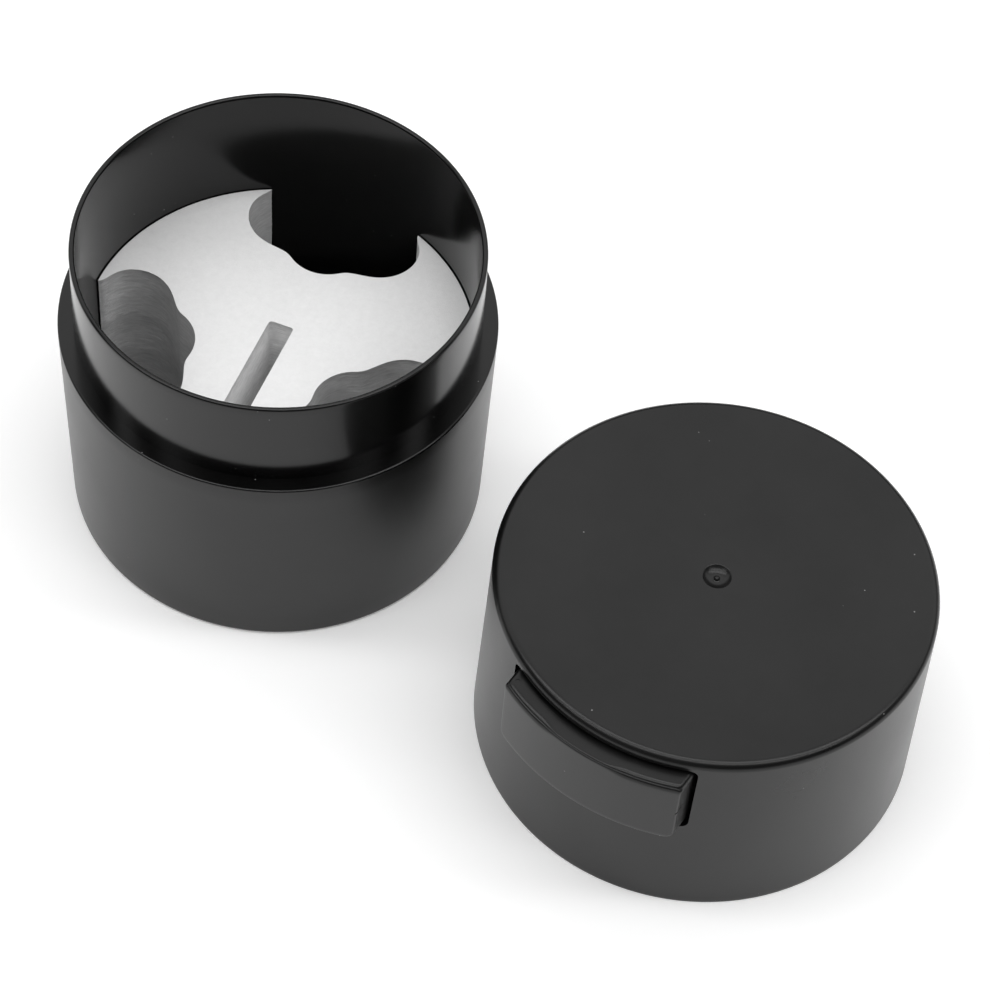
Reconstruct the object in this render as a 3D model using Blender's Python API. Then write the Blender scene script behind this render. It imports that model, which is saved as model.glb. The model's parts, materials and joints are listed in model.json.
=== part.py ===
"""Airtight storage jar with a foam bottle insert and a press-on cap that has a vent button.

The jar stands with the centre of its underside at the origin and +Z up. The cap stands beside it
on its open edge. The vent button faces the cap's front, and tips on two stub axles.
Everything is in metres.
"""

import math

import bmesh
import bpy
from mathutils import Matrix, Vector

# Jar: one moulding, a thick wall with a thinner neck standing on a ledge.
BODY_RADIUS = 0.0500
BODY_DRAFT = 0.0011
BODY_HEIGHT = 0.0569
BODY_FOOT_ROUND = 0.0012
LEDGE_WIDTH = 0.0036
LEDGE_ROUND = 0.0004
NECK_HEIGHT = 0.0242
NECK_WALL = 0.0013
FLOOR_THICKNESS = 0.0030
BORE_DRAFT = 0.0001

# Foam: a die-cut disc with three bottle pockets open at its edge, and one straight slot.
FOAM_SIDE_CLEARANCE = 0.0002
FOAM_BELOW_RIM = 0.0317
POCKET_COUNT = 3
POCKET_BEARING = 73.0
PATTERN_SHIFT = 0.0025
POCKET_OUTSETS = (0.0, 0.0012, 0.0)
LOBE_RADIUS = 0.0097
LOBE_SPREAD = 0.01155
LOBE_INSET = 0.01285
MIDDLE_LOBE_INSET = 0.0168
CUSP_HALF_WIDTH = 0.0072
TIP_RADIUS = 0.0069
TIP_END_ANGLE = 60.0
SLOT_WIDTH = 0.0060
SLOT_START = -0.0010
SLOT_END_MARGIN = 0.0131
SLOT_CORNER = 0.0008

# Cap: a shell that slides down over the neck until it meets the ledge.
CAP_OVERHANG = 0.00025
CAP_DRAFT = 0.00135
CAP_WALL = 0.00205
CAP_UPPER_WALL = 0.0032
CAP_TOP_THICKNESS = 0.0022
CAP_TOP_ROUND = 0.0020
CAP_HEADROOM = 0.0300
RIM_CLEARANCE = 0.0010
DISH_RADIUS = 0.0033
DISH_DEPTH = 0.0006
NUB_RADIUS = 0.0011
NUB_HEIGHT = 0.0004

# Neck seal and the ring that holds it under the cap's inner shelf.
SEAL_HEIGHT = 0.0023
SEAL_NECK_CLEARANCE = 0.00015
RETAINER_HEIGHT = 0.0048
RETAINER_NECK_CLEARANCE = 0.0005

# Where the cap stands, and which way its button faces.
CAP_GAP = 0.0180
CAP_BEARING = -30.1
BUTTON_BEARING = -120.6

# Vent button: a curved block with parallel ends, hollow at the back.
BUTTON_PROUD = 0.0044
BUTTON_DEPTH = 0.0102
BUTTON_HALF_LENGTH = 0.02235
BUTTON_HEIGHT = 0.0196
BUTTON_BELOW_TOP = 0.0036
BUTTON_WALL = 0.0020
BUTTON_ROUND = 0.0020
BUTTON_CHAMFER = 0.0008
SCOOP_RADIUS = 0.0270
SCOOP_DEPTH = 0.0004
AXLE_RADIUS = 0.0012
AXLE_CLEARANCE = 0.0001
AXLE_REACH = 0.00205
AXLE_BACK_MARGIN = 0.00165
BOSS_RADIUS = 0.0030
BOSS_END_GAP = 0.0089
BOSS_ABOVE_AXLE = 0.0043
PEG_RADIUS = 0.0012
PEG_LENGTH = 0.0015
POST_RADIUS = 0.0022
POST_BELOW_AXLE = 0.0060

# Pocket in the cap that the button sits in.
POCKET_END_GAP = 0.00095
POCKET_TOP_GAP = 0.0010
POCKET_BOTTOM_GAP = 0.0008
POCKET_WALL = 0.0020
POCKET_END_WALL = 0.0027
POCKET_BACK_GAP = 0.0014
POCKET_ROUND = 0.0018
VENT_RADIUS = 0.0015

# Vent pad: rubber disc with a stem pushed into the button's post.
PAD_RADIUS = 0.0030
PAD_THICKNESS = 0.0015
PAD_SEAT_GAP = 0.0001
STEM_RADIUS = 0.0008
STEM_LENGTH = 0.0030

# Return spring.
SPRING_RADIUS = 0.0024
SPRING_WIRE = 0.00025
SPRING_TURNS = 7

# Fit between pieces that touch, and how finely round shapes are divided.
TOUCH_GAP = 0.0003
OVERLAP = 0.0010
MERGE = 1e-7
SEGMENTS = 72
SMALL_SEGMENTS = 20
ARC_STEPS = 4

# Sizes that follow from the ones above.
BODY_FOOT_RADIUS = BODY_RADIUS - BODY_DRAFT
NECK_RADIUS = BODY_RADIUS - LEDGE_WIDTH
BORE_RADIUS = NECK_RADIUS - NECK_WALL
RIM_HEIGHT = BODY_HEIGHT + NECK_HEIGHT
FOAM_RADIUS = BORE_RADIUS - BORE_DRAFT - FOAM_SIDE_CLEARANCE
FOAM_BOTTOM = FLOOR_THICKNESS + TOUCH_GAP
FOAM_TOP = RIM_HEIGHT - FOAM_BELOW_RIM
CAP_HEIGHT = NECK_HEIGHT + CAP_HEADROOM
CAP_FOOT_RADIUS = BODY_RADIUS + CAP_OVERHANG
CAP_TOP_RADIUS = CAP_FOOT_RADIUS - CAP_DRAFT
MOUTH_RADIUS = CAP_FOOT_RADIUS - CAP_WALL
SHELF_HEIGHT = NECK_HEIGHT + RIM_CLEARANCE
BUTTON_TOP = CAP_HEIGHT - BUTTON_BELOW_TOP
BUTTON_BOTTOM = BUTTON_TOP - BUTTON_HEIGHT
BUTTON_FACE = CAP_TOP_RADIUS + BUTTON_PROUD
BUTTON_BACK = BUTTON_FACE - BUTTON_DEPTH
AXLE_HEIGHT = (BUTTON_TOP + BUTTON_BOTTOM) / 2
BUTTON_END_BACK = math.sqrt(BUTTON_BACK**2 - BUTTON_HALF_LENGTH**2)
AXLE_DEPTH = BUTTON_END_BACK + AXLE_RADIUS + AXLE_BACK_MARGIN
POCKET_HALF_LENGTH = BUTTON_HALF_LENGTH + POCKET_END_GAP
POCKET_TOP = BUTTON_TOP + POCKET_TOP_GAP
POCKET_FLOOR = BUTTON_BOTTOM - POCKET_BOTTOM_GAP
POCKET_BACK = BUTTON_END_BACK - POCKET_BACK_GAP
BOSS_HEIGHT = AXLE_HEIGHT + BOSS_ABOVE_AXLE
BOSS_END = POCKET_BACK + BOSS_END_GAP + 2 * TOUCH_GAP
POST_HEIGHT = AXLE_HEIGHT - POST_BELOW_AXLE
PAD_FACE = POCKET_BACK + PAD_SEAT_GAP
POST_END = PAD_FACE + PAD_THICKNESS + TOUCH_GAP


def clear_scene():
    for old in list(bpy.data.objects):
        bpy.data.objects.remove(old, do_unlink=True)


def material(name, colour, roughness, metallic=0.0):
    finish = bpy.data.materials.new(name)
    finish.use_nodes = True
    shader = finish.node_tree.nodes["Principled BSDF"]
    shader.inputs["Base Color"].default_value = (*colour, 1.0)
    shader.inputs["Roughness"].default_value = roughness
    shader.inputs["Metallic"].default_value = metallic
    return finish


def empty(name, location, turn_z=0.0, parent=None):
    holder = bpy.data.objects.new(name, None)
    bpy.context.scene.collection.objects.link(holder)
    holder.location = location
    holder.rotation_euler = (0.0, 0.0, turn_z)
    holder.parent = parent
    return holder


def piece(name, bm, finish, parent=None):
    """Puts a finished mesh in the scene as one named part, smooth apart from its real edges."""
    mesh = bpy.data.meshes.new(name)
    bmesh.ops.recalc_face_normals(bm, faces=bm.faces)
    bm.to_mesh(mesh)
    bm.free()
    mesh.shade_smooth()
    mesh.set_sharp_from_angle(angle=math.radians(30))
    mesh.materials.append(finish)
    part = bpy.data.objects.new(name, mesh)
    bpy.context.scene.collection.objects.link(part)
    part.parent = parent
    return part


def shape(target, name, bm, operation):
    """Joins a tool shape to the target, or cuts it away. The tool itself isn't part of the object."""
    mesh = bpy.data.meshes.new(name)
    bmesh.ops.recalc_face_normals(bm, faces=bm.faces)
    bm.to_mesh(mesh)
    bm.free()
    tool = bpy.data.objects.new(name, mesh)
    bpy.context.scene.collection.objects.link(tool)
    tool.parent = target.parent
    tool.location = target.location
    tool.hide_render = True
    tool.display_type = "WIRE"
    step = target.modifiers.new(name, "BOOLEAN")
    step.object = tool
    step.operation = operation
    step.solver = "EXACT"


def arc(centre, radius, start, end, steps=ARC_STEPS):
    """Points on a circle from one angle to another, in degrees, both ends included."""
    angles = [math.radians(start + (end - start) * i / steps) for i in range(steps + 1)]
    return [(centre[0] + radius * math.cos(a), centre[1] + radius * math.sin(a)) for a in angles]


def turned(profile, closed, steps=SEGMENTS):
    """Spins a profile of (radius, height) points round Z into a solid."""
    bm = bmesh.new()
    points = [bm.verts.new((radius, 0.0, height)) for radius, height in profile]
    pairs = list(zip(points, points[1:]))
    if closed:
        pairs.append((points[-1], points[0]))
    lines = [bm.edges.new(pair) for pair in pairs]
    bmesh.ops.spin(
        bm, geom=points + lines, cent=(0, 0, 0), axis=(0, 0, 1),
        angle=2 * math.pi, steps=steps, use_merge=True,
    )
    bmesh.ops.remove_doubles(bm, verts=bm.verts, dist=MERGE)
    return bm


def prism(outline, low, high):
    """Extrudes a flat outline of (x, y) points from z = low to z = high."""
    bm = bmesh.new()
    face = bm.faces.new([bm.verts.new((x, y, low)) for x, y in outline])
    grown = bmesh.ops.extrude_face_region(bm, geom=[face])
    lifted = [item for item in grown["geom"] if isinstance(item, bmesh.types.BMVert)]
    bmesh.ops.translate(bm, verts=lifted, vec=(0, 0, high - low))
    return bm


def front_prism(outline, near, far):
    """Extrudes an outline of (x, z) points along Y, between two distances in front of the axis."""
    bm = prism(outline, near, far)
    bmesh.ops.transform(bm, matrix=Matrix.Rotation(math.pi / 2, 4, "X"), verts=bm.verts)
    return bm


def rod(radius, start, end, steps=SMALL_SEGMENTS):
    """A round bar between two points."""
    start, end = Vector(start), Vector(end)
    along = end - start
    bm = bmesh.new()
    place = Matrix.Translation((start + end) / 2) @ along.to_track_quat("Z", "Y").to_matrix().to_4x4()
    bmesh.ops.create_cone(
        bm, cap_ends=True, segments=steps, radius1=radius, radius2=radius,
        depth=along.length, matrix=place,
    )
    return bm


def add_rod(bm, radius, start, end):
    """Adds a second, separate bar to a tool shape."""
    extra = bpy.data.meshes.new("extra")
    bar = rod(radius, start, end)
    bar.to_mesh(extra)
    bar.free()
    bm.from_mesh(extra)
    bpy.data.meshes.remove(extra)


def round_rectangle(half_width, low, high, corner):
    """Outline of (x, z) points with all four corners rounded."""
    side = half_width - corner
    return (
        arc((-side, low + corner), corner, 180, 270)
        + arc((side, low + corner), corner, 270, 360)
        + arc((side, high - corner), corner, 0, 90)
        + arc((-side, high - corner), corner, 90, 180)
    )


def curved_block(half_length, back, front, steps=18):
    """Plan outline of a block with parallel ends whose back and front follow the cap's wall."""
    reach = math.degrees(math.asin(half_length / front))
    front_arc = arc((0, 0), front, -90 - reach, -90 + reach, steps)
    reach = math.degrees(math.asin(half_length / back))
    back_arc = arc((0, 0), back, -90 + reach, -90 - reach, steps)
    return front_arc + back_arc


def make_jar(finish):
    """Body, ledge, neck and floor in one profile, from the underside's centre round to the floor's."""
    foot = arc(
        (BODY_FOOT_RADIUS - BODY_FOOT_ROUND, BODY_FOOT_ROUND), BODY_FOOT_ROUND, -90, 0
    )
    ledge_edge = arc((BODY_RADIUS - LEDGE_ROUND, BODY_HEIGHT - LEDGE_ROUND), LEDGE_ROUND, 0, 90)
    rim_round = NECK_WALL / 2
    rim = arc((NECK_RADIUS - rim_round, RIM_HEIGHT - rim_round), rim_round, 0, 180, 6)
    profile = [(0, 0)] + foot + ledge_edge + [(NECK_RADIUS, BODY_HEIGHT)] + rim
    profile += [(BORE_RADIUS - BORE_DRAFT, FLOOR_THICKNESS), (0, FLOOR_THICKNESS)]
    return piece("jar_body", turned(profile, closed=False), finish)


def bottle_pocket():
    """Outline of one bottle pocket whose middle line is +Y, from the pattern's centre outwards."""
    lobe = Vector((LOBE_SPREAD, FOAM_RADIUS - LOBE_INSET))
    middle = Vector((0, FOAM_RADIUS - MIDDLE_LOBE_INSET))
    cusp_angle = math.degrees(math.asin(CUSP_HALF_WIDTH / LOBE_RADIUS))
    middle_arc = arc(middle, LOBE_RADIUS, -90 - cusp_angle, -90 + cusp_angle, 8)
    cusp = Vector(middle_arc[-1])
    to_lobe = lobe - cusp
    slope = math.atan2(to_lobe.y, to_lobe.x) - math.asin(LOBE_RADIUS / to_lobe.length)
    right_arc = arc(lobe, LOBE_RADIUS, math.degrees(slope) - 90, 0, 10)
    tip = lobe + Vector((LOBE_RADIUS - TIP_RADIUS, 0))
    right_arc += arc(tip, TIP_RADIUS, 0, TIP_END_ANGLE, 6)[1:]
    beyond = Vector(right_arc[-1]).normalized() * (FOAM_RADIUS + 4 * LOBE_RADIUS)
    right = right_arc + [tuple(beyond)]
    left = [(-x, y) for x, y in reversed(right)]
    return middle_arc + right + left


def make_foam(finish):
    """A plain disc, then the three pockets and the slot that the die cuts right through it."""
    disc = turned(
        [(0, FOAM_BOTTOM), (FOAM_RADIUS, FOAM_BOTTOM), (FOAM_RADIUS, FOAM_TOP), (0, FOAM_TOP)],
        closed=False,
    )
    foam = piece("foam_insert", disc, finish)
    low, high = FOAM_BOTTOM - OVERLAP, FOAM_TOP + OVERLAP
    shift = Matrix.Translation((0, PATTERN_SHIFT, 0))
    for i in range(POCKET_COUNT):
        bearing = math.radians(POCKET_BEARING - 90 + 360 * i / POCKET_COUNT)
        outset = Matrix.Translation((0, POCKET_OUTSETS[i], 0))
        cut = prism(bottle_pocket(), low, high)
        place = shift @ Matrix.Rotation(bearing, 4, "Z") @ outset
        bmesh.ops.transform(cut, matrix=place, verts=cut.verts)
        shape(foam, f"pocket_cut_{i + 1}", cut, "DIFFERENCE")
    slot_end = FOAM_RADIUS - SLOT_END_MARGIN
    slot = prism(round_rectangle(SLOT_WIDTH / 2, SLOT_START, slot_end, SLOT_CORNER), low, high)
    bearing = math.radians(POCKET_BEARING + 180 - 90)
    bmesh.ops.transform(slot, matrix=shift @ Matrix.Rotation(bearing, 4, "Z"), verts=slot.verts)
    shape(foam, "slot_cut", slot, "DIFFERENCE")
    return foam


def make_cap(finish, stand):
    """The turned shell, then the button's pocket, its axle sockets and the vent hole."""
    edge = arc((CAP_TOP_RADIUS - CAP_TOP_ROUND, CAP_HEIGHT - CAP_TOP_ROUND), CAP_TOP_ROUND, 90, 0)
    dish_floor = CAP_HEIGHT - DISH_DEPTH
    top = [
        (0, dish_floor + NUB_HEIGHT), (NUB_RADIUS, dish_floor + NUB_HEIGHT),
        (NUB_RADIUS + NUB_HEIGHT, dish_floor), (DISH_RADIUS - DISH_DEPTH, dish_floor),
        (DISH_RADIUS, CAP_HEIGHT),
    ]
    inner_top = CAP_HEIGHT - CAP_TOP_THICKNESS
    upper_radius = CAP_FOOT_RADIUS - CAP_DRAFT - CAP_UPPER_WALL
    inside = [
        (CAP_FOOT_RADIUS, 0), (MOUTH_RADIUS, 0), (MOUTH_RADIUS, SHELF_HEIGHT),
        (upper_radius, SHELF_HEIGHT), (upper_radius, inner_top), (0, inner_top),
    ]
    cap = piece("cap_shell", turned(top + edge + inside, closed=False), finish, stand)

    half = POCKET_HALF_LENGTH + POCKET_END_WALL
    mid_wall = CAP_TOP_RADIUS - CAP_WALL / 2
    reach = math.degrees(math.asin(half / mid_wall))
    rear = -(POCKET_BACK - POCKET_WALL)
    housing = arc((0, 0), mid_wall, -90 - reach, -90 + reach, 18) + [(half, rear), (-half, rear)]
    housing_floor = POCKET_FLOOR - POCKET_WALL
    housing_top = CAP_HEIGHT - CAP_TOP_THICKNESS / 2
    shape(cap, "pocket_housing", prism(housing, housing_floor, housing_top), "UNION")
    window = round_rectangle(POCKET_HALF_LENGTH, POCKET_FLOOR, POCKET_TOP, POCKET_ROUND)
    shape(cap, "pocket_cut", front_prism(window, POCKET_BACK, BUTTON_FACE), "DIFFERENCE")

    socket_end = BUTTON_HALF_LENGTH + AXLE_REACH + TOUCH_GAP
    axle_line = (-AXLE_DEPTH, AXLE_HEIGHT)
    sockets = rod(AXLE_RADIUS + AXLE_CLEARANCE, (-socket_end, *axle_line), (socket_end, *axle_line))
    shape(cap, "socket_cut", sockets, "DIFFERENCE")
    vent_start = (0, -(POCKET_BACK - POCKET_WALL - OVERLAP), POST_HEIGHT)
    vent_end = (0, -(POCKET_BACK + OVERLAP), POST_HEIGHT)
    shape(cap, "vent_cut", rod(VENT_RADIUS, vent_start, vent_end), "DIFFERENCE")
    peg_start = (0, -(POCKET_BACK - POCKET_WALL / 2), BOSS_HEIGHT)
    peg_end = (0, -(POCKET_BACK + PEG_LENGTH), BOSS_HEIGHT)
    shape(cap, "spring_peg", rod(PEG_RADIUS, peg_start, peg_end), "UNION")
    return cap


def ring(inner, outer, low, high, chamfer):
    """Profile of a flat ring whose inner edges are chamfered, so that it passes over the neck."""
    return [
        (inner, low + chamfer), (inner + chamfer, low), (outer, low),
        (outer, high), (inner + chamfer, high), (inner, high - chamfer),
    ]


def make_seal_and_retainer(rubber, plastic, stand):
    """The soft ring under the cap's shelf, and the stiff ring pressed in below it."""
    outer = MOUTH_RADIUS - TOUCH_GAP
    seal_top = SHELF_HEIGHT - TOUCH_GAP
    seal_low = seal_top - SEAL_HEIGHT
    seal = ring(NECK_RADIUS + SEAL_NECK_CLEARANCE, outer, seal_low, seal_top, SEAL_HEIGHT / 5)
    retainer_top = seal_low - TOUCH_GAP
    retainer_low = retainer_top - RETAINER_HEIGHT
    inner = NECK_RADIUS + RETAINER_NECK_CLEARANCE
    retainer = ring(inner, outer, retainer_low, retainer_top, (outer - inner) / 3)
    piece("neck_seal", turned(seal, closed=True), rubber, stand)
    piece("seal_retainer", turned(retainer, closed=True), plastic, stand)


def at_axle(bm):
    """Moves a shape drawn from the cap's axis so that the button's axle is its origin."""
    bmesh.ops.translate(bm, verts=bm.verts, vec=(0, AXLE_DEPTH, -AXLE_HEIGHT))
    return bm


def make_button(finish, axle):
    """The curved block, hollowed from the back, with its scoop, boss, post and stub axles."""
    face = BUTTON_FACE + OVERLAP
    side = BUTTON_HALF_LENGTH - BUTTON_ROUND
    outline = arc((-side, BUTTON_BOTTOM + BUTTON_ROUND), BUTTON_ROUND, 180, 270)
    outline += arc((side, BUTTON_BOTTOM + BUTTON_ROUND), BUTTON_ROUND, 270, 360)
    outline += [
        (BUTTON_HALF_LENGTH, BUTTON_TOP - BUTTON_CHAMFER),
        (BUTTON_HALF_LENGTH - BUTTON_CHAMFER, BUTTON_TOP),
        (BUTTON_CHAMFER - BUTTON_HALF_LENGTH, BUTTON_TOP),
        (-BUTTON_HALF_LENGTH, BUTTON_TOP - BUTTON_CHAMFER),
    ]
    block = front_prism(outline, POCKET_BACK / 2, face)
    button = piece("push_button", at_axle(block), finish, axle)
    curve = prism(
        curved_block(BUTTON_HALF_LENGTH + OVERLAP, BUTTON_BACK, BUTTON_FACE),
        BUTTON_BOTTOM - OVERLAP, BUTTON_TOP + OVERLAP,
    )
    shape(button, "button_curve", at_axle(curve), "INTERSECT")
    hollow = prism(
        curved_block(BUTTON_HALF_LENGTH - BUTTON_WALL, POCKET_BACK, BUTTON_FACE - BUTTON_WALL),
        BUTTON_BOTTOM + BUTTON_WALL, BUTTON_TOP - BUTTON_WALL,
    )
    shape(button, "button_hollow", at_axle(hollow), "DIFFERENCE")
    scoop_axis = -(BUTTON_FACE - SCOOP_DEPTH + SCOOP_RADIUS)
    scoop = rod(
        SCOOP_RADIUS, (-BUTTON_HALF_LENGTH, scoop_axis, BUTTON_TOP),
        (BUTTON_HALF_LENGTH, scoop_axis, BUTTON_TOP), 96,
    )
    shape(button, "thumb_scoop", at_axle(scoop), "DIFFERENCE")

    root = -(BUTTON_FACE - BUTTON_WALL + OVERLAP / 2)
    peg_end = -(BOSS_END - PEG_LENGTH)
    boss = rod(BOSS_RADIUS, (0, root, BOSS_HEIGHT), (0, -BOSS_END, BOSS_HEIGHT))
    shape(button, "spring_boss", at_axle(boss), "UNION")
    peg = rod(PEG_RADIUS, (0, -BOSS_END - OVERLAP, BOSS_HEIGHT), (0, peg_end, BOSS_HEIGHT))
    shape(button, "boss_peg", at_axle(peg), "UNION")
    post = rod(POST_RADIUS, (0, root, POST_HEIGHT), (0, -POST_END, POST_HEIGHT))
    shape(button, "pad_post", at_axle(post), "UNION")
    stem_hole = rod(
        STEM_RADIUS + TOUCH_GAP, (0, -POST_END + OVERLAP, POST_HEIGHT),
        (0, -POST_END - STEM_LENGTH - TOUCH_GAP, POST_HEIGHT),
    )
    shape(button, "stem_hole", at_axle(stem_hole), "DIFFERENCE")
    stub_root = BUTTON_HALF_LENGTH - BUTTON_WALL / 2
    stub_end = BUTTON_HALF_LENGTH + AXLE_REACH
    stubs = rod(AXLE_RADIUS, (stub_root, 0, 0), (stub_end, 0, 0))
    add_rod(stubs, AXLE_RADIUS, (-stub_root, 0, 0), (-stub_end, 0, 0))
    shape(button, "stub_axles", stubs, "UNION")
    return button


def make_vent_pad(finish, axle):
    """A rubber disc over the vent hole, with a stem in the button's post."""
    profile = [
        (0, 0), (PAD_RADIUS, 0), (PAD_RADIUS, PAD_THICKNESS), (STEM_RADIUS, PAD_THICKNESS),
        (STEM_RADIUS, PAD_THICKNESS + STEM_LENGTH), (0, PAD_THICKNESS + STEM_LENGTH),
    ]
    pad = turned(profile, closed=False, steps=SMALL_SEGMENTS)
    bmesh.ops.transform(pad, matrix=Matrix.Rotation(math.pi / 2, 4, "X"), verts=pad.verts)
    bmesh.ops.translate(pad, verts=pad.verts, vec=(0, -PAD_FACE, POST_HEIGHT))
    piece("vent_seal", at_axle(pad), finish, axle)


def make_spring(finish, stand):
    """A wire coil between the pocket's back wall and the button's boss, round their two pegs."""
    start = POCKET_BACK + TOUCH_GAP + SPRING_WIRE
    length = BOSS_END - TOUCH_GAP - SPRING_WIRE - start
    steps = 12 * SPRING_TURNS
    coil = bpy.data.curves.new("button_spring", "CURVE")
    coil.dimensions = "3D"
    coil.bevel_depth = SPRING_WIRE
    coil.bevel_resolution = 1
    coil.use_fill_caps = True
    wire = coil.splines.new("POLY")
    wire.points.add(steps)
    for i, point in enumerate(wire.points):
        angle = 2 * math.pi * SPRING_TURNS * i / steps
        x = SPRING_RADIUS * math.cos(angle)
        z = BOSS_HEIGHT + SPRING_RADIUS * math.sin(angle)
        point.co = (x, -(start + length * i / steps), z, 1.0)
    coil.materials.append(finish)
    spring = bpy.data.objects.new("button_spring", coil)
    bpy.context.scene.collection.objects.link(spring)
    spring.parent = stand


def main():
    clear_scene()
    gloss_black = material("gloss_black_plastic", (0.012, 0.012, 0.013), 0.22)
    satin_black = material("satin_black_plastic", (0.030, 0.030, 0.031), 0.48)
    white_foam = material("white_foam", (0.80, 0.80, 0.80), 0.90)
    black_rubber = material("black_rubber", (0.020, 0.020, 0.020), 0.75)
    spring_steel = material("spring_steel", (0.55, 0.55, 0.56), 0.30, 1.0)

    make_jar(gloss_black)
    make_foam(white_foam)

    bearing = math.radians(CAP_BEARING)
    distance = BODY_RADIUS + CAP_FOOT_RADIUS + CAP_GAP
    spot = (distance * math.cos(bearing), distance * math.sin(bearing), 0.0)
    stand = empty("cap_stand", spot, math.radians(BUTTON_BEARING + 90))
    axle = empty("button_axle", (0, -AXLE_DEPTH, AXLE_HEIGHT), parent=stand)
    make_cap(satin_black, stand)
    make_seal_and_retainer(black_rubber, satin_black, stand)
    make_button(satin_black, axle)
    make_vent_pad(black_rubber, axle)
    make_spring(spring_steel, stand)


main()
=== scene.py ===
"""Looks of an airtight storage jar: black moulded jar and cap, white foam insert, vent button."""

import json
import math

import bmesh
import bpy
from mathutils import Matrix, Vector, noise


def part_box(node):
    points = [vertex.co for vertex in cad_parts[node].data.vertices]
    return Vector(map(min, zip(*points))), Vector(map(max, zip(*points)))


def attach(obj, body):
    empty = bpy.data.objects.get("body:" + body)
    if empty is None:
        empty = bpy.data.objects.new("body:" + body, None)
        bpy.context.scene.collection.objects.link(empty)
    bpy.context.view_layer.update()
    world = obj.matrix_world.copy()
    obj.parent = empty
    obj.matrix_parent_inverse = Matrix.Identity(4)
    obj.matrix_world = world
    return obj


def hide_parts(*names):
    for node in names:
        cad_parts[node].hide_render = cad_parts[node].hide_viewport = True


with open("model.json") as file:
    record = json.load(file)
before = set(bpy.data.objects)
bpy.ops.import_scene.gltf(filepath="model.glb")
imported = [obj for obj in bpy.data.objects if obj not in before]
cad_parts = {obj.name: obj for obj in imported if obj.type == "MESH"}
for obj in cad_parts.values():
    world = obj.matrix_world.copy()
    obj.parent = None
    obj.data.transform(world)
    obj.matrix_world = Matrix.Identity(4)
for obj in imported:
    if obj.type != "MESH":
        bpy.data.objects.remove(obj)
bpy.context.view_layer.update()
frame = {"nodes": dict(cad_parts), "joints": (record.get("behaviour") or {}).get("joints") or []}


# ---------------------------------------------------------------- studio
# A white table, lit faintly from below, in a dim room. A wide softbox hangs behind the table and
# two bright strip lamps hang overhead. The camera looks down from the dark side of the room
# through a long lens.
MM = 0.001
ROOM_LIGHT = 0.10
LOWEST_RISE = 0.02
# Each lamp's middle, half size, soft edge and brightness. Lengths are in heights of the ceiling.
SOFTBOX = ((0, 1.05), (2.6, 0.55), 0.30, 1.15)
FAR_STRIP = ((0, 0.02), (1.1, 0.07), 0.06, 5.2)
NEAR_STRIP = ((0, -0.42), (1.1, 0.06), 0.06, 5.2)
TABLE_HALF = 6.0
TABLE_GAP = 0.02 * MM
LENS_MM = 120.1
SENSOR_MM = 36.0
CAMERA_ELEVATION = math.radians(53.41)
CAMERA_ROLL = math.radians(5.29)
CAMERA_PLACE = (0.05263, -0.47627, 0.63776)


def node(tree, kind, **settings):
    made = tree.nodes.new(kind)
    for key, value in settings.items():
        setattr(made, key, value)
    return made


def set_inputs(made, values):
    for socket, value in values.items():
        made.inputs[socket].default_value = value


def maths(tree, operation, first, second):
    made = node(tree, "ShaderNodeMath", operation=operation)
    for socket, value in zip(made.inputs, (first, second)):
        if isinstance(value, (int, float)):
            socket.default_value = value
        else:
            tree.links.new(value, socket)
    return made.outputs["Value"]


def spread(tree, source, low, high, to_low, to_high, soft=False):
    """Maps a value from one range to another, clamped."""
    made = node(tree, "ShaderNodeMapRange")
    if soft:
        made.interpolation_type = "SMOOTHSTEP"
    set_inputs(made, {"From Min": low, "From Max": high, "To Min": to_low, "To Max": to_high})
    tree.links.new(source, made.inputs["Value"])
    return made.outputs["Result"]


def new_material(name):
    """A material, its node tree and its shader."""
    made = bpy.data.materials.new(name)
    made.use_nodes = True
    return made, made.node_tree, made.node_tree.nodes["Principled BSDF"]


def hung_lamp(tree, across, along, middle, half_size, edge, brightness):
    """A soft-edged rectangle of light on the ceiling, in heights of ceiling from overhead."""
    covers = 1.0
    for place, centre, half in zip((across, along), middle, half_size):
        away = maths(tree, "ABSOLUTE", maths(tree, "SUBTRACT", place, centre), 0)
        inside = spread(tree, away, half, half + edge, 1, 0, soft=True)
        covers = maths(tree, "MULTIPLY", covers, inside)
    return maths(tree, "MULTIPLY", covers, brightness)


def studio_room():
    room = bpy.data.worlds.new("studio_room")
    room.use_nodes = True
    tree = room.node_tree
    look = node(tree, "ShaderNodeSeparateXYZ")
    tree.links.new(node(tree, "ShaderNodeTexCoord").outputs["Generated"], look.inputs["Vector"])
    rise = maths(tree, "MAXIMUM", look.outputs["Z"], LOWEST_RISE)
    across = maths(tree, "DIVIDE", look.outputs["X"], rise)
    along = maths(tree, "DIVIDE", look.outputs["Y"], rise)
    softbox = hung_lamp(tree, across, along, *SOFTBOX)
    far_strip = hung_lamp(tree, across, along, *FAR_STRIP)
    near_strip = hung_lamp(tree, across, along, *NEAR_STRIP)
    lamps = maths(tree, "ADD", softbox, maths(tree, "ADD", far_strip, near_strip))
    light = maths(tree, "ADD", lamps, ROOM_LIGHT)
    background = tree.nodes["Background"]
    tree.links.new(light, background.inputs["Strength"])
    set_inputs(background, {"Color": (1, 1, 1, 1)})
    bpy.context.scene.world = room


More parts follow.
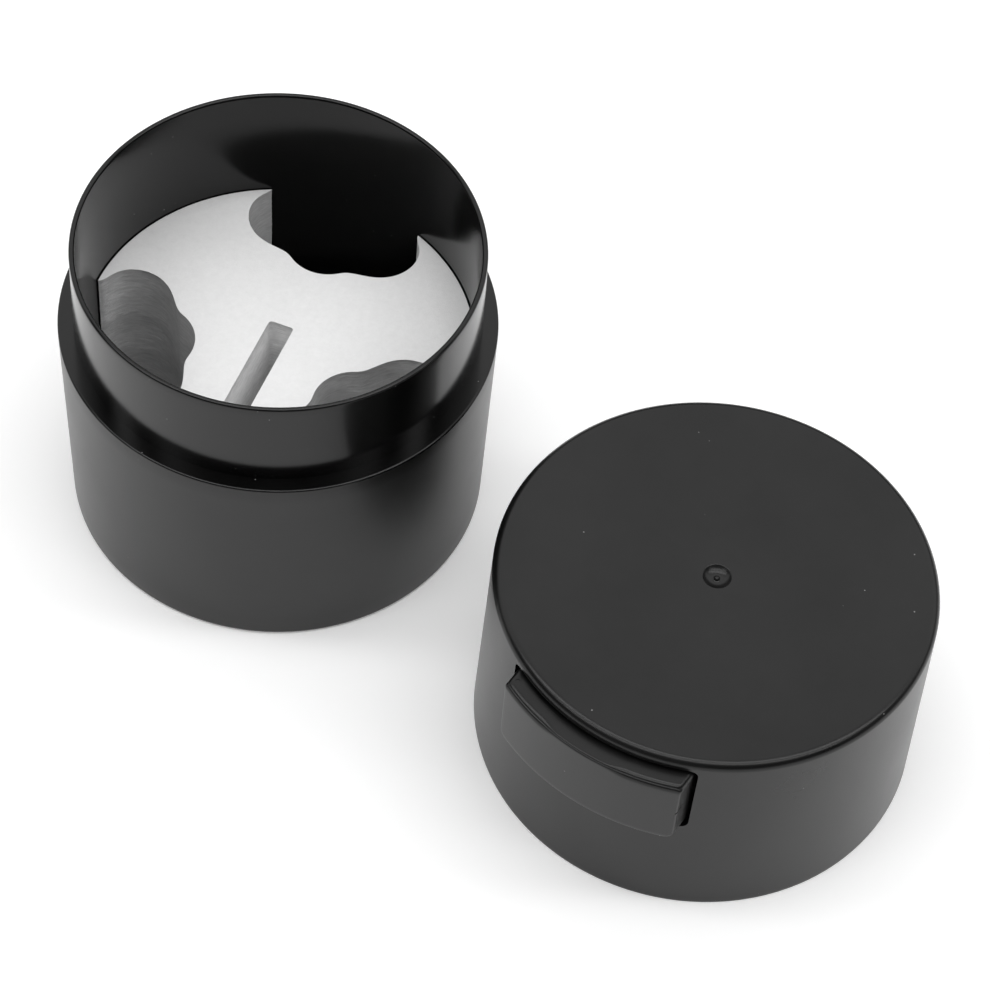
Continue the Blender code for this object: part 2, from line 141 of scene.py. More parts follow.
def studio_floor():
    mesh = bpy.data.meshes.new("studio_floor")
    half = TABLE_HALF
    corners = [(-half, -half, 0), (half, -half, 0), (half, half, 0), (-half, half, 0)]
    mesh.from_pydata(corners, [], [(0, 1, 2, 3)])
    floor = bpy.data.objects.new("studio_floor", mesh)
    bpy.context.scene.collection.objects.link(floor)
    floor.location.z = -TABLE_GAP
    paper, _, shader = new_material("white_paper")
    set_inputs(shader, {
        "Base Color": (0.95, 0.95, 0.95, 1),
        "Emission Color": (1, 1, 1, 1),
        "Emission Strength": 0.16,
        "Roughness": 0.9,
        "Specular IOR Level": 0.2,
    })
    mesh.materials.append(paper)


def front_camera():
    """A hand-held view: aimed down by its elevation, then turned by its roll."""
    data = bpy.data.cameras.new("camera")
    data.lens = LENS_MM
    data.sensor_width = SENSOR_MM
    data.clip_start = 0.01
    camera = bpy.data.objects.new("camera", data)
    bpy.context.scene.collection.objects.link(camera)
    aim = Matrix.Rotation(math.pi / 2 - CAMERA_ELEVATION, 4, "X")
    roll = Matrix.Rotation(CAMERA_ROLL, 4, "Z")
    camera.matrix_world = Matrix.Translation(CAMERA_PLACE) @ aim @ roll
    bpy.context.scene.camera = camera


bpy.context.scene.view_settings.view_transform = "Standard"
studio_room()
studio_floor()
front_camera()


# ---------------------------------------------------------------- jar body
# One thick-walled black moulding. The core side and the neck that the cap's seal wipes are
# polished; the outside of the body is left from a finely textured mould.
JAR_FOOT, JAR_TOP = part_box("jar_body")
JAR_RADIUS = (JAR_TOP.x - JAR_FOOT.x) / 2
RIM_HEIGHT = JAR_TOP.z
LEDGE_HEIGHT = 56.9 * MM
LEDGE_EDGE = 0.5 * MM
FOOT_RADIUS = JAR_RADIUS - 1.1 * MM
FOOT_ROUND = 1.2 * MM
NECK_RADIUS = JAR_RADIUS - 3.6 * MM
BORE_RADIUS = NECK_RADIUS - 1.3 * MM
BORE_FOOT_RADIUS = BORE_RADIUS - 0.1 * MM
FLOOR_HEIGHT = 3.0 * MM
FLOOR_CORNER = 0.3 * MM


def arc(centre, radius, start, end, steps=8):
    """Points on a circle from one angle to another, in degrees, both ends included."""
    angles = [math.radians(start + (end - start) * i / steps) for i in range(steps + 1)]
    return [(centre[0] + radius * math.cos(a), centre[1] + radius * math.sin(a)) for a in angles]


def line(start, end, steps):
    """Points after start, evenly spaced up to and including end."""
    pairs = [((steps - i) / steps, i / steps) for i in range(1, steps + 1)]
    return [(start[0] * a + end[0] * b, start[1] * a + end[1] * b) for a, b in pairs]


def turned_mesh(name, profile, closed=False, steps=192):
    """Turns (radius, height) points round Z. Points on the axis become one vertex each."""
    mesh = bpy.data.meshes.new(name)
    rings, points = [], []
    for radius, height in profile:
        count = 1 if radius < 1e-7 else steps
        rings.append(range(len(points), len(points) + count))
        for i in range(count):
            a = 2 * math.pi * i / steps
            points.append((radius * math.cos(a), radius * math.sin(a), height))
    faces = []
    pairs = list(zip(rings, rings[1:])) + ([(rings[-1], rings[0])] if closed else [])
    for low, high in pairs:
        for i in range(steps):
            j = (i + 1) % steps
            if len(low) == 1:
                faces.append((low[0], high[j], high[i]))
            elif len(high) == 1:
                faces.append((low[i], low[j], high[0]))
            else:
                faces.append((low[i], low[j], high[j], high[i]))
    mesh.from_pydata(points, [], faces)
    return mesh


def show(name, mesh, place=None):
    """Puts a mesh in the scene as a smooth piece with crisp edges, in the row's frame."""
    if place is not None:
        mesh.transform(place)
    mesh.shade_smooth()
    mesh.set_sharp_from_angle(angle=math.radians(35))
    made = bpy.data.objects.new(name, mesh)
    bpy.context.scene.collection.objects.link(made)
    return made


def noise_at(tree, coords, scale, detail=3.0, roughness=0.5):
    made = node(tree, "ShaderNodeTexNoise")
    set_inputs(made, {"Scale": scale, "Detail": detail, "Roughness": roughness})
    tree.links.new(coords, made.inputs["Vector"])
    return made.outputs["Fac"]


def cells_at(tree, coords, spacing):
    made = node(tree, "ShaderNodeTexVoronoi", feature="F1")
    set_inputs(made, {"Scale": 1 / spacing})
    tree.links.new(coords, made.inputs["Vector"])
    return made.outputs


def grey(tree, tone):
    made = node(tree, "ShaderNodeCombineColor")
    for channel in ("Red", "Green", "Blue"):
        tree.links.new(tone, made.inputs[channel])
    return made.outputs["Color"]


def relief(tree, height, strength, depth):
    """The normal of a surface with a fine relief of the given depth."""
    made = node(tree, "ShaderNodeBump")
    set_inputs(made, {"Strength": strength, "Distance": depth})
    tree.links.new(height, made.inputs["Height"])
    return made.outputs["Normal"]


def dust(tree, coords, spacing, size, share):
    """A mask of small specks: one in some cells of a grid, each of its own size."""
    cells = cells_at(tree, coords, spacing)
    pick = node(tree, "ShaderNodeSeparateColor")
    tree.links.new(cells["Color"], pick.inputs["Color"])
    settled = spread(tree, noise_at(tree, coords, 55, 2), 0.45, 0.62, 0.1 * share, 2.2 * share)
    chosen = maths(tree, "LESS_THAN", pick.outputs["Red"], settled)
    reach = maths(tree, "MULTIPLY", pick.outputs["Green"], size / spacing)
    spot = maths(tree, "LESS_THAN", cells["Distance"], reach)
    return maths(tree, "MULTIPLY", chosen, spot)


def moulded_black(name, shade, rough, grain_size, grain_depth, speck_size, speck_share):
    """Black polymer: dark body, grain from the mould, cloudy handling marks, settled dust."""
    made, tree, shader = new_material(name)
    set_inputs(shader, {"IOR": 1.49, "Specular IOR Level": 0.37})
    coords = node(tree, "ShaderNodeTexCoord").outputs["Object"]

    specks = dust(tree, coords, 2.2 * MM, speck_size, speck_share)
    clouds = noise_at(tree, coords, 26, 5, 0.6)
    tone = spread(tree, clouds, 0.35, 0.65, shade * 0.5, shade * 2.2)
    dusted = maths(tree, "ADD", tone, maths(tree, "MULTIPLY", specks, 0.20))
    gloss = spread(tree, clouds, 0.3, 0.7, rough * 0.93, rough * 1.09)
    rougher = maths(tree, "ADD", gloss, maths(tree, "MULTIPLY", specks, 0.4))
    grain = noise_at(tree, coords, 1 / grain_size, 2)

    tree.links.new(grey(tree, dusted), shader.inputs["Base Color"])
    tree.links.new(rougher, shader.inputs["Roughness"])
    tree.links.new(relief(tree, grain, 1.0, grain_depth), shader.inputs["Normal"])
    return made


def jar_profile():
    foot = arc((FOOT_RADIUS - FOOT_ROUND, FOOT_ROUND), FOOT_ROUND, -90, 0)
    edge = arc((JAR_RADIUS - LEDGE_EDGE, LEDGE_HEIGHT - LEDGE_EDGE), LEDGE_EDGE, 0, 90)
    ledge = [(JAR_RADIUS - x * MM, LEDGE_HEIGHT) for x in (0.56, 0.7, 2.2, 3.3)]
    neck_foot = [(NECK_RADIUS, LEDGE_HEIGHT), (NECK_RADIUS, LEDGE_HEIGHT + 0.3 * MM)]
    half_wall = (NECK_RADIUS - BORE_RADIUS) / 2
    rim = arc((NECK_RADIUS - half_wall, RIM_HEIGHT - half_wall), half_wall, 0, 180, 16)
    profile = [(0, 0), (FOOT_RADIUS - 4 * MM, 0)] + foot
    profile += line(foot[-1], edge[0], 12) + edge[1:] + ledge + neck_foot
    profile += line(neck_foot[-1], rim[0], 12) + rim[1:]
    corner_middle = (BORE_FOOT_RADIUS - FLOOR_CORNER, FLOOR_HEIGHT + FLOOR_CORNER)
    corner = arc(corner_middle, FLOOR_CORNER, 0, -90, 4)
    profile += line(rim[-1], corner[0], 8) + corner[1:]
    return profile + [(BORE_FOOT_RADIUS - 3 * MM, FLOOR_HEIGHT), (0, FLOOR_HEIGHT)]


jar = show("moulded_jar", turned_mesh("moulded_jar", jar_profile(), steps=256))
polished = moulded_black(
    "polished_black_moulding", shade=0.0015, rough=0.165,
    grain_size=0.35 * MM, grain_depth=0.0006 * MM, speck_size=0.17 * MM, speck_share=0.30,
)
textured = moulded_black(
    "textured_black_moulding", shade=0.003, rough=0.32,
    grain_size=0.16 * MM, grain_depth=0.0024 * MM, speck_size=0.17 * MM, speck_share=0.07,
)
jar.data.materials.append(polished)
jar.data.materials.append(textured)
for face in jar.data.polygons:
    out = math.hypot(face.center.x, face.center.y)
    body_side = face.center.z < LEDGE_HEIGHT - 0.45 * MM and out > BORE_RADIUS + 2 * MM
    underside = face.center.z < 1e-5
    if body_side or underside:
        face.material_index = 1
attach(jar, "jar")
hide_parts("jar_body")


# ---------------------------------------------------------------- foam insert
# A disc of fine white closed-cell foam. A steel rule die cuts three bottle pockets and a slot
# right through it, and leaves fine drag lines down the cut walls.
FOAM_LOW, FOAM_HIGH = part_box("foam_insert")
FOAM_RADIUS = FOAM_HIGH.x
FOAM_EDGE = 0.45 * MM
POCKET_BEARING = 73.0
PATTERN_SHIFT = 2.5 * MM
POCKET_OUTSETS = (0.0, 1.2 * MM, 0.0)
LOBE_RADIUS = 9.7 * MM
SIDE_LOBE = Vector((11.55 * MM, FOAM_RADIUS - 12.85 * MM))
MIDDLE_LOBE = (0, FOAM_RADIUS - 16.8 * MM)
TIP_RADIUS = 6.9 * MM
CUSP_HALF_WIDTH = 7.2 * MM
SLOT_HALF_WIDTH = 3.0 * MM
SLOT_START = -1.0 * MM
SLOT_END = FOAM_RADIUS - 13.1 * MM
SLOT_CORNER = 0.8 * MM
RIPPLE_ROWS = 60
DRAG_DEPTH = 0.16 * MM
SWAY_DEPTH = 0.30 * MM


def blunted(points, spacing, times):
    """The same open outline with its corners worn round, as a bent steel blade leaves them."""
    even = [Vector(points[0])]
    for start, end in zip(points, points[1:]):
        start, end = Vector(start), Vector(end)
        count = max(1, round((end - start).length / spacing))
        even += [start.lerp(end, (i + 1) / count) for i in range(count)]
    for _ in range(times):
        inner = [(a + b * 2 + c) / 4 for a, b, c in zip(even, even[1:], even[2:])]
        even = [even[0]] + inner + [even[-1]]
    return [tuple(p) for p in even]


def bottle_pocket():
    """Outline of one pocket round +Y: middle lobe, then out round each side lobe."""
    cusp_angle = math.degrees(math.asin(CUSP_HALF_WIDTH / LOBE_RADIUS))
    half_middle = arc(MIDDLE_LOBE, LOBE_RADIUS, -90, -90 + cusp_angle, 10)
    to_lobe = SIDE_LOBE - Vector(half_middle[-1])
    slope = math.atan2(to_lobe.y, to_lobe.x) - math.asin(LOBE_RADIUS / to_lobe.length)
    side = arc(SIDE_LOBE, LOBE_RADIUS, math.degrees(slope) - 90, 0, 20)
    tip_centre = (SIDE_LOBE.x + LOBE_RADIUS - TIP_RADIUS, SIDE_LOBE.y)
    side += arc(tip_centre, TIP_RADIUS, 0, 60, 10)[1:]
    beyond = Vector(side[-1]).normalized() * (FOAM_RADIUS + 30 * MM)
    right = half_middle + side + [tuple(beyond)]
    left = [(-x, y) for x, y in reversed(right[1:])]
    return blunted(left + right, spacing=0.5 * MM, times=14)


def oblong(half_width, low, high, corner, steps=8):
    """Outline of a rectangle with rounded corners, centred across."""
    side = half_width - corner
    outline = arc((-side, low + corner), corner, 180, 270, steps)
    outline += arc((side, low + corner), corner, 270, 360, steps)
    outline += arc((side, high - corner), corner, 0, 90, steps)
    return outline + arc((-side, high - corner), corner, 90, 180, steps)


def mesh_from(bm, name):
    mesh = bpy.data.meshes.new(name)
    bm.to_mesh(mesh)
    bm.free()
    return mesh


def outline_tool(points, low, high, turn):
    """A prism with the given outline, turned into place."""
    bm = bmesh.new()
    face = bm.faces.new([bm.verts.new((x, y, low)) for x, y in points])
    grown = bmesh.ops.extrude_face_region(bm, geom=[face])
    lifted = [item for item in grown["geom"] if isinstance(item, bmesh.types.BMVert)]
    bmesh.ops.translate(bm, verts=lifted, vec=(0, 0, high - low))
    bmesh.ops.recalc_face_normals(bm, faces=bm.faces)
    mesh = mesh_from(bm, "tool")
    mesh.transform(turn)
    return mesh


def carve(mesh, tool_mesh, operation="DIFFERENCE"):
    """The mesh after an exact Boolean with the tool; both are used up."""
    target = bpy.data.objects.new("target", mesh)
    tool = bpy.data.objects.new("tool", tool_mesh)
    for made in (target, tool):
        bpy.context.scene.collection.objects.link(made)
    step = target.modifiers.new("cut", "BOOLEAN")
    step.object = tool
    step.operation = operation
    step.solver = "EXACT"
    seen = target.evaluated_get(bpy.context.evaluated_depsgraph_get())
    result = bpy.data.meshes.new_from_object(seen)
    for made in (target, tool):
        bpy.data.objects.remove(made)
    return result


def round_off(bm, edges, offset, segments):
    bmesh.ops.bevel(
        bm, geom=edges, offset=offset, segments=segments, profile=0.5,
        affect="EDGES", clamp_overlap=True,
    )


def split(bm, point, normal):
    """Cuts every face that a plane crosses."""
    everything = bm.verts[:] + bm.edges[:] + bm.faces[:]
    bmesh.ops.bisect_plane(bm, geom=everything, plane_co=point, plane_no=normal)


def cut_foam():
    """The disc with its pockets and its slot cut through."""
    low, high = FOAM_LOW.z, FOAM_HIGH.z
    disc = turned_mesh("foam", [(0, low), (FOAM_RADIUS, low), (FOAM_RADIUS, high), (0, high)])
    shift = Matrix.Translation((0, PATTERN_SHIFT, 0))
    for i, outset in enumerate(POCKET_OUTSETS):
        turn = shift @ Matrix.Rotation(math.radians(POCKET_BEARING - 90 + 120 * i), 4, "Z")
        turn = turn @ Matrix.Translation((0, outset, 0))
        disc = carve(disc, outline_tool(bottle_pocket(), low - MM, high + MM, turn))
    turn = shift @ Matrix.Rotation(math.radians(POCKET_BEARING + 90), 4, "Z")
    blade = oblong(SLOT_HALF_WIDTH, SLOT_START, SLOT_END, SLOT_CORNER)
    return carve(disc, outline_tool(blade, low - MM, high + MM, turn))


def ease_and_ripple(mesh):
    """Rounds the sheet edges, then adds rows of points to the cut walls and ripples them."""
    bm = bmesh.new()
    bm.from_mesh(mesh)
    bmesh.ops.remove_doubles(bm, verts=bm.verts, dist=0.02 * MM)
    bmesh.ops.dissolve_limit(bm, angle_limit=math.radians(1), verts=bm.verts, edges=bm.edges)
    border = [e for f in bm.faces if abs(f.normal.z) > 0.9 for e in f.edges]
    round_off(bm, list(dict.fromkeys(border)), FOAM_EDGE, 3)
    low, high = FOAM_LOW.z + 0.6 * MM, FOAM_HIGH.z - 0.6 * MM
    for i in range(RIPPLE_ROWS + 1):
        split(bm, (0, 0, low + (high - low) * i / RIPPLE_ROWS), (0, 0, 1))
    bm.normal_update()
    moves = []
    for v in bm.verts:
        if low - MM / 10 < v.co.z < high + MM / 10:
            out = Vector((v.normal.x, v.normal.y, 0))
            drag = noise.noise(Vector((v.co.x * 300, v.co.y * 300, v.co.z * 1400)))
            slow = Vector((v.co.x * 70, v.co.y * 70, v.co.z * 90))
            sway = noise.noise(slow + Vector((7, 3, 1)))
            moves.append((v, -out * (DRAG_DEPTH * abs(drag) + SWAY_DEPTH * abs(sway))))
    for v, move in moves:
        v.co += move
    bm.to_mesh(mesh)
    bm.free()
    return mesh


def foam_material():
    """White foam: cut cells all over, and drag lines round the cut walls."""
    made, tree, shader = new_material("white_cut_foam")
    set_inputs(shader, {"Roughness": 0.92, "Specular IOR Level": 0.25})
    coords = node(tree, "ShaderNodeTexCoord").outputs["Object"]
    squash = node(tree, "ShaderNodeMapping")
    set_inputs(squash, {"Scale": (0.38, 0.38, 2.2)})
    tree.links.new(coords, squash.inputs["Vector"])
    drag = noise_at(tree, squash.outputs["Vector"], 900, 4, 0.6)
    cells = cells_at(tree, coords, 0.22 * MM)
    mottle = noise_at(tree, coords, 700, 5, 0.7)
    upward = node(tree, "ShaderNodeSeparateXYZ")
    normal = node(tree, "ShaderNodeNewGeometry").outputs["Normal"]
    tree.links.new(normal, upward.inputs["Vector"])
    wall = maths(tree, "SUBTRACT", 1.0, maths(tree, "ABSOLUTE", upward.outputs["Z"], 0))

    tone = spread(tree, mottle, 0.3, 0.7, 0.79, 0.84)
    lines = spread(tree, drag, 0.35, 0.65, -0.04, 0.13)
    toned = maths(tree, "ADD", tone, maths(tree, "MULTIPLY", lines, wall))
    fine = maths(tree, "ADD", maths(tree, "MULTIPLY", cells["Distance"], 0.5), mottle)
    dragged = maths(tree, "MULTIPLY", maths(tree, "MULTIPLY", drag, wall), 3.0)
    height = maths(tree, "ADD", fine, dragged)

    tree.links.new(grey(tree, toned), shader.inputs["Base Color"])
    tree.links.new(relief(tree, height, 0.6, 0.10 * MM), shader.inputs["Normal"])
    return made


foam = show("bottle_foam", ease_and_ripple(cut_foam()))
foam.data.materials.clear()
foam.data.materials.append(foam_material())
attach(foam, "insert")
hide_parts("foam_insert")


# ---------------------------------------------------------------- cap shell
# A deep satin black moulding with a dished gate mark on top, and a closed box inside its wall
# that the vent button sits in. Above the neck's rim the bore narrows, which leaves the wall
# thick enough for that box.
CAP_LOW, CAP_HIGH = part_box("cap_shell")
CAP_FOOT_RADIUS = (CAP_HIGH.x - CAP_LOW.x) / 2
CAP_TOP_RADIUS = CAP_FOOT_RADIUS - 1.35 * MM
CAP_HEIGHT = CAP_HIGH.z
CAP_EDGE = 2.0 * MM
CAP_FOOT_EDGE = 0.35 * MM
MOUTH_RADIUS = CAP_FOOT_RADIUS - 2.05 * MM
MOUTH_CHAMFER = 0.4 * MM
UPPER_BORE = CAP_TOP_RADIUS - 3.2 * MM
SHELF_HEIGHT = 25.2 * MM
CEILING = CAP_HEIGHT - 2.2 * MM
CEILING_CORNER = 1.0 * MM
NUB_RADIUS = 0.72 * MM
NUB_DEPTH = 1.15 * MM
# Radius and depth of the dish, in millimetres, from beside the nub out to the flat top.
DISH = (
    (0.92, 1.10), (1.3, 1.08), (1.6, 1.03), (1.9, 0.94), (2.2, 0.81), (2.5, 0.63),
    (2.75, 0.44), (2.95, 0.26), (3.1, 0.12), (3.22, 0.03), (3.35, 0),
)
HINGE = next(j for j in frame["joints"] if j["name"] == "vent_button_rock")
CAP_TURN = math.atan2(-HINGE["axis"][1], -HINGE["axis"][0])
CAP_CENTRE = Vector(((CAP_LOW.x + CAP_HIGH.x) / 2, (CAP_LOW.y + CAP_HIGH.y) / 2, 0))
CAP_PLACE = Matrix.Translation(CAP_CENTRE) @ Matrix.Rotation(CAP_TURN, 4, "Z")
AXLE_HEIGHT = HINGE["pos_m"][2]
AXLE_Y = -(Vector(HINGE["pos_m"]) - CAP_CENTRE).to_2d().length
VENT_HEIGHT = AXLE_HEIGHT - 6.0 * MM
VENT_RADIUS = 1.5 * MM
SOCKET_RADIUS = 1.3 * MM
SOCKET_END = 24.7 * MM
BUTTON_LOW, BUTTON_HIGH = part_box("push_button")
BUTTON_FACE = CAP_TOP_RADIUS + 4.4 * MM
POCKET_HALF = 23.3 * MM
POCKET_LOW = BUTTON_LOW.z - 0.8 * MM
POCKET_HIGH = BUTTON_HIGH.z + 1.0 * MM
POCKET_CORNER = 1.8 * MM
POCKET_BACK = 35.45 * MM
POCKET_WALL = 2.0 * MM
POCKET_END_WALL = 2.7 * MM


def cap_profile():
    nub = arc((0, CAP_HEIGHT - NUB_DEPTH), NUB_RADIUS, 90, 12)
    dish = [(0, nub[0][1])] + nub[1:] + [(r * MM, CAP_HEIGHT - down * MM) for r, down in DISH]
    flat = [(r * MM, CAP_HEIGHT) for r in (3.6, 5, 12, 24, 36, 44, 46.4, 46.8)]
    edge = arc((CAP_TOP_RADIUS - CAP_EDGE, CAP_HEIGHT - CAP_EDGE), CAP_EDGE, 90, 0, 22)
    skirt = line(edge[-1], (CAP_FOOT_RADIUS, CAP_FOOT_EDGE), 60)
    foot = arc((CAP_FOOT_RADIUS - CAP_FOOT_EDGE, CAP_FOOT_EDGE), CAP_FOOT_EDGE, 0, -90, 4)[1:]
    inside = [(MOUTH_RADIUS + MOUTH_CHAMFER, 0), (MOUTH_RADIUS, MOUTH_CHAMFER)]
    inside += line(inside[-1], (MOUTH_RADIUS, SHELF_HEIGHT), 3)
    inside += [(UPPER_BORE, SHELF_HEIGHT)]
    inside += line(inside[-1], (UPPER_BORE, CEILING - CEILING_CORNER), 3)
    corner = (UPPER_BORE - CEILING_CORNER, CEILING - CEILING_CORNER)
    inside += arc(corner, CEILING_CORNER, 0, 90, 5)[1:]
    return dish + flat + edge + skirt + foot + inside + [(20 * MM, CEILING), (0, CEILING)]


def round_tool(radius, start, end):
    """A round bar between two points."""
    start, end = Vector(start), Vector(end)
    along = end - start
    turn = along.to_track_quat("Z", "Y").to_matrix().to_4x4()
    bm = bmesh.new()
    bmesh.ops.create_cone(
        bm, cap_ends=True, segments=32, radius1=radius, radius2=radius,
        depth=along.length, matrix=Matrix.Translation((start + end) / 2) @ turn,
    )
    return mesh_from(bm, "bar")


def flip_out(mesh):
    bm = bmesh.new()
    bm.from_mesh(mesh)
    bmesh.ops.recalc_face_normals(bm, faces=bm.faces)
    bm.to_mesh(mesh)
    bm.free()
    return mesh


def cap_shell():
    """The turned shell joined to the button's box, then cut: window, axle sockets, vent hole."""
    shell = flip_out(turned_mesh("satin_cap", cap_profile(), steps=256))
    half = POCKET_HALF + POCKET_END_WALL
    mid_wall = CAP_TOP_RADIUS - 1.02 * MM
    reach = math.degrees(math.asin(half / mid_wall))
    rear = POCKET_BACK - POCKET_WALL
    box = arc((0, 0), mid_wall, -90 - reach, -90 + reach, 40) + [(half, -rear), (-half, -rear)]
    box_low, box_high = POCKET_LOW - POCKET_WALL, CAP_HEIGHT - 1.1 * MM
    shell = carve(shell, outline_tool(box, box_low, box_high, Matrix.Identity(4)), "UNION")
    window = oblong(POCKET_HALF, POCKET_LOW, POCKET_HIGH, POCKET_CORNER, 6)
    upright = Matrix.Rotation(math.pi / 2, 4, "X")
    shell = carve(shell, outline_tool(window, POCKET_BACK, BUTTON_FACE, upright))
    ends = [(x, AXLE_Y, AXLE_HEIGHT) for x in (-SOCKET_END, SOCKET_END)]
    shell = carve(shell, round_tool(SOCKET_RADIUS, *ends))
    ends = [(0, y, VENT_HEIGHT) for y in (-rear + MM, -POCKET_BACK - MM)]
    return carve(shell, round_tool(VENT_RADIUS, *ends))


cap = show("satin_cap", cap_shell(), CAP_PLACE)
satin = moulded_black(
    "satin_black_moulding", shade=0.003, rough=0.29,
    grain_size=0.18 * MM, grain_depth=0.0026 * MM, speck_size=0.19 * MM, speck_share=0.07,
)
cap.data.materials.clear()
cap.data.materials.append(satin)
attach(cap, "cap")
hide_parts("cap_shell")


# ---------------------------------------------------------------- neck seal and its retainer
# A soft rubber ring with a lip that wipes the neck, and a stiff satin ring pressed in below it.
RING_OUTER = MOUTH_RADIUS - 0.32 * MM
RUBBER_GLOSS = 0.4


def lipped_ring(name, stands_for, inner, lip):
    """A ring in the cap whose inner edge is drawn out to a rounded lip at mid-height."""
    low, high = (corner.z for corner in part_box(stands_for))
    profile = [(inner + lip, low), (RING_OUTER, low), (RING_OUTER, high), (inner + lip, high)]
    profile += arc((inner + lip / 2, (low + high) / 2), lip / 2, 90, 270)
    return show(name, flip_out(turned_mesh(name, profile, closed=True)), CAP_PLACE)


seal = lipped_ring("wiper_seal", "neck_seal", NECK_RADIUS + 0.2 * MM, 0.7 * MM)
rubber = moulded_black(
    "black_seal_rubber", shade=0.018, rough=0.62,
    grain_size=0.12 * MM, grain_depth=0.006 * MM, speck_size=0.17 * MM, speck_share=0.05,
)
set_inputs(rubber.node_tree.nodes["Principled BSDF"], {"Specular IOR Level": RUBBER_GLOSS})
seal.data.materials.append(rubber)
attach(seal, "cap")
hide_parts("neck_seal")
retainer = lipped_ring("press_ring", "seal_retainer", NECK_RADIUS + 0.55 * MM, 0.3 * MM)
retainer.data.materials.append(satin)
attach(retainer, "cap")
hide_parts("seal_retainer")


# ---------------------------------------------------------------- vent button
# A satin black block that follows the cap's curve but has parallel ends. It is moulded hollow
# from the back, with two stub axles, a boss for the spring and a post for the rubber pad. The
# mould leaves an ejector pin's mark on the top face and a nick at the parting line of one end.
BUTTON_HALF = 22.35 * MM
BUTTON_DEPTH = 10.2 * MM
BUTTON_WALL = 2.0 * MM
LOWER_CORNER = 2.0 * MM
UPPER_CORNER = 1.2 * MM
FACE_EDGE = 0.35 * MM
SIDE_TOP_EDGE = 1.8 * MM
THUMB_TOP_EDGE = 0.8 * MM
THUMB_HALF = 6.0 * MM
THUMB_BLEND = 4.5 * MM
COLUMNS = 44
ROWS = 16
EDGE_ROWS = 8
AXLE_RADIUS = 1.2 * MM
AXLE_REACH = (21.4 * MM, 24.35 * MM)
BOSS_HEIGHT = AXLE_HEIGHT + 4.3 * MM
BOSS_RADIUS = 3.0 * MM
POST_RADIUS = 2.2 * MM
NICK_HALF_LENGTH = 1.4 * MM
NICK_HALF_WIDTH = 0.2 * MM
NICK_DEPTH = 0.6 * MM
PIN_X = -20.4 * MM
PIN_RADIUS = 0.55 * MM
PIN_DEPTH = 0.12 * MM


def face_y(x, inset=0.0):
    """How far forward the curved face, or a surface inside it, lies at x."""
    return -math.sqrt((BUTTON_FACE - inset)**2 - x**2)


def edge_round(x):
    """The radius of the top front edge: large at both sides, small where the thumb rests."""
    side = min(1.0, max(0.0, (abs(x) - THUMB_HALF) / THUMB_BLEND))
    return THUMB_TOP_EDGE + (SIDE_TOP_EDGE - THUMB_TOP_EDGE) * side * side * (3 - 2 * side)


def rounded_over(x, depth, z):
    """Moves a point near the top front corner, taking the square corner to a quarter circle."""
    radius = edge_round(x)
    below = BUTTON_HIGH.z - z
    if depth > radius or below > radius:
        return depth, z
    inside = radius - min(depth, below)
    angle = math.pi / 4 * (depth + radius - below) / radius
    return radius - inside * math.cos(angle), z + below - radius + inside * math.sin(angle)


def button_block():
    """Drawn flat as (along, depth, height), then bent round the cap's axis."""
    bm = bmesh.new()
    bmesh.ops.create_cube(bm, size=1)
    low, high = BUTTON_LOW.z, BUTTON_HIGH.z
    for v in bm.verts:
        v.co.x *= 2 * BUTTON_HALF
        v.co.y = (v.co.y + 0.5) * BUTTON_DEPTH
        v.co.z = low if v.co.z < 0 else high

    def deep_edges(z):
        deep = [e for e in bm.edges if abs(e.verts[0].co.y - e.verts[1].co.y) > BUTTON_DEPTH / 2]
        return [e for e in deep if e.verts[0].co.z == z]

    round_off(bm, deep_edges(low), LOWER_CORNER, 8)
    round_off(bm, deep_edges(high), UPPER_CORNER, 6)
    tiny = MM / 1000
    back = [f for f in bm.faces if all(abs(v.co.y - BUTTON_DEPTH) < tiny for v in f.verts)]
    bmesh.ops.inset_region(bm, faces=back, thickness=BUTTON_WALL)
    pushed = bmesh.ops.extrude_face_region(bm, geom=back)
    inner = [item for item in pushed["geom"] if isinstance(item, bmesh.types.BMVert)]
    bmesh.ops.translate(bm, verts=inner, vec=(0, BUTTON_WALL - BUTTON_DEPTH, 0))
    bmesh.ops.delete(bm, geom=back, context="FACES_ONLY")
    round_off(bm, [e for e in bm.edges if all(v.co.y < tiny for v in e.verts)], FACE_EDGE, 4)
    for i in range(1, EDGE_ROWS + 1):
        near = 0.22 * MM * i
        split(bm, (0, near, 0), (0, 1, 0))
        split(bm, (0, 0, high - near), (0, 0, 1))
    for i in range(1, COLUMNS):
        split(bm, (BUTTON_HALF * (2 * i / COLUMNS - 1), 0, 0), (1, 0, 0))
    for i in range(1, ROWS):
        split(bm, (0, 0, low + (high - low) * i / ROWS), (0, 0, 1))
    for v in bm.verts:
        depth, v.co.z = rounded_over(v.co.x, v.co.y, v.co.z)
        v.co.y = face_y(v.co.x, depth)
    bmesh.ops.recalc_face_normals(bm, faces=bm.faces)
    return mesh_from(bm, "vent_button")


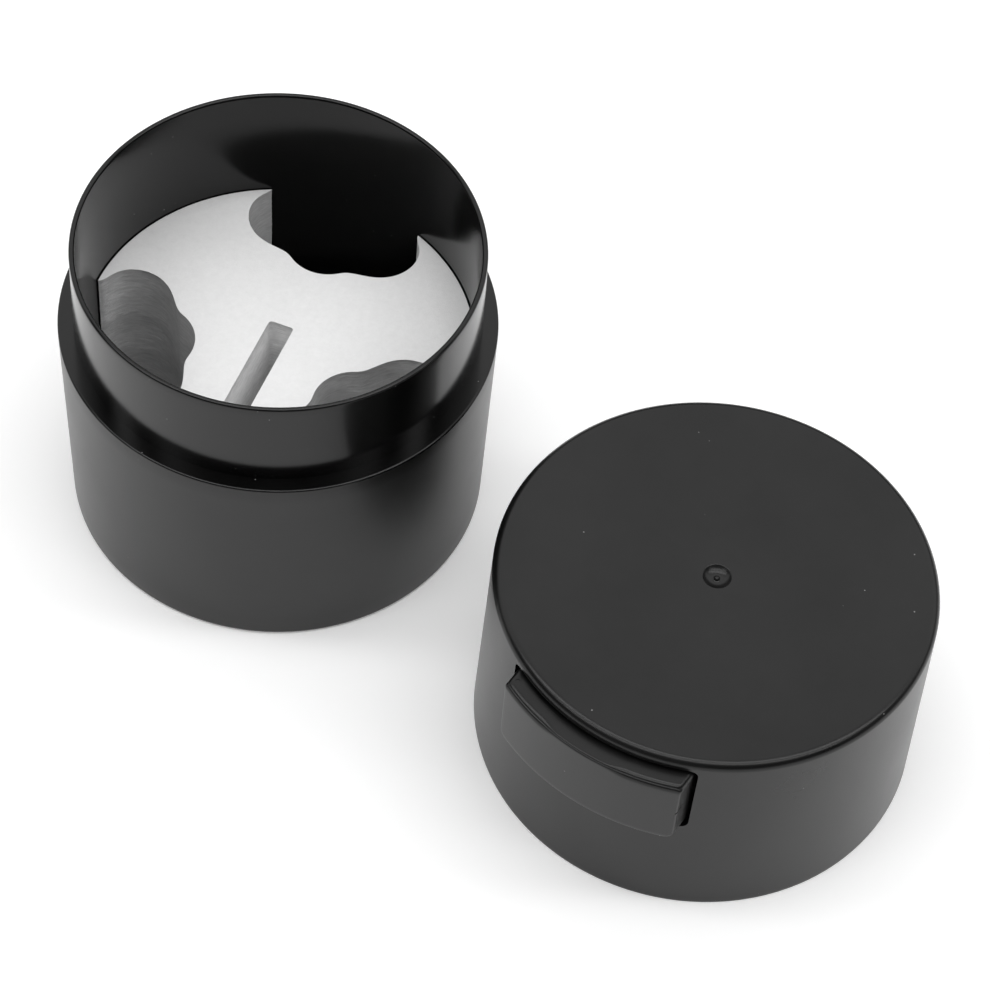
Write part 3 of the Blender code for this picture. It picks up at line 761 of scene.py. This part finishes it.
def button_insides(mesh):
    """Joins the stub axles, the spring's boss and the pad's post to the block."""
    for side in (-1, 1):
        ends = [(side * x, AXLE_Y, AXLE_HEIGHT) for x in AXLE_REACH]
        mesh = carve(mesh, round_tool(AXLE_RADIUS, *ends), "UNION")
    root = -(BUTTON_FACE - BUTTON_WALL + 0.5 * MM)
    ends = [(0, y, BOSS_HEIGHT) for y in (root, -POCKET_BACK - 9.5 * MM)]
    mesh = carve(mesh, round_tool(BOSS_RADIUS, *ends), "UNION")
    ends = [(0, y, VENT_HEIGHT) for y in (root, -POCKET_BACK - 1.9 * MM)]
    return carve(mesh, round_tool(POST_RADIUS, *ends), "UNION")


def mould_marks(mesh):
    """Cuts the nick in the button's end and the ejector pin's mark in its top face."""
    long, wide = NICK_HALF_LENGTH, NICK_HALF_WIDTH
    outline = [(-long, -wide), (long, -wide), (long, wide), (-long, wide)]
    place = Matrix.Translation((BUTTON_HALF, face_y(BUTTON_HALF) + MM, AXLE_HEIGHT + 0.9 * MM))
    place = place @ Matrix.Rotation(math.pi / 2, 4, "Z") @ Matrix.Rotation(math.pi / 2, 4, "X")
    place = place @ Matrix.Rotation(math.radians(36), 4, "Z")
    mesh = carve(mesh, outline_tool(outline, -NICK_DEPTH, NICK_DEPTH, place))
    pin_y = 2.8 * MM + face_y(PIN_X)
    ends = [(PIN_X, pin_y, BUTTON_HIGH.z + up) for up in (MM, -PIN_DEPTH)]
    return carve(mesh, round_tool(PIN_RADIUS, *ends))


button = show("vent_button", mould_marks(button_insides(button_block())), CAP_PLACE)
button.data.materials.clear()
button.data.materials.append(satin)
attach(button, "vent_button")
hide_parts("push_button")


# ---------------------------------------------------------------- vent pad and return spring
# A rubber pad with a stem pushed into the button's post, and a small coil of stainless wire.
# Both already have their real shape, so they only get their material here.
def drawn_wire():
    made, tree, shader = new_material("drawn_stainless_wire")
    set_inputs(shader, {"Metallic": 1.0})
    coords = node(tree, "ShaderNodeTexCoord").outputs["Object"]
    haze = noise_at(tree, coords, 2200, 3)
    tone = spread(tree, haze, 0.3, 0.7, 0.50, 0.62)
    rough = spread(tree, haze, 0.3, 0.7, 0.24, 0.38)
    tree.links.new(grey(tree, tone), shader.inputs["Base Color"])
    tree.links.new(rough, shader.inputs["Roughness"])
    return made


for name, finish in (("vent_seal", rubber), ("button_spring", drawn_wire())):
    mesh = frame["nodes"][name].data
    mesh.materials.clear()
    mesh.materials.append(finish)
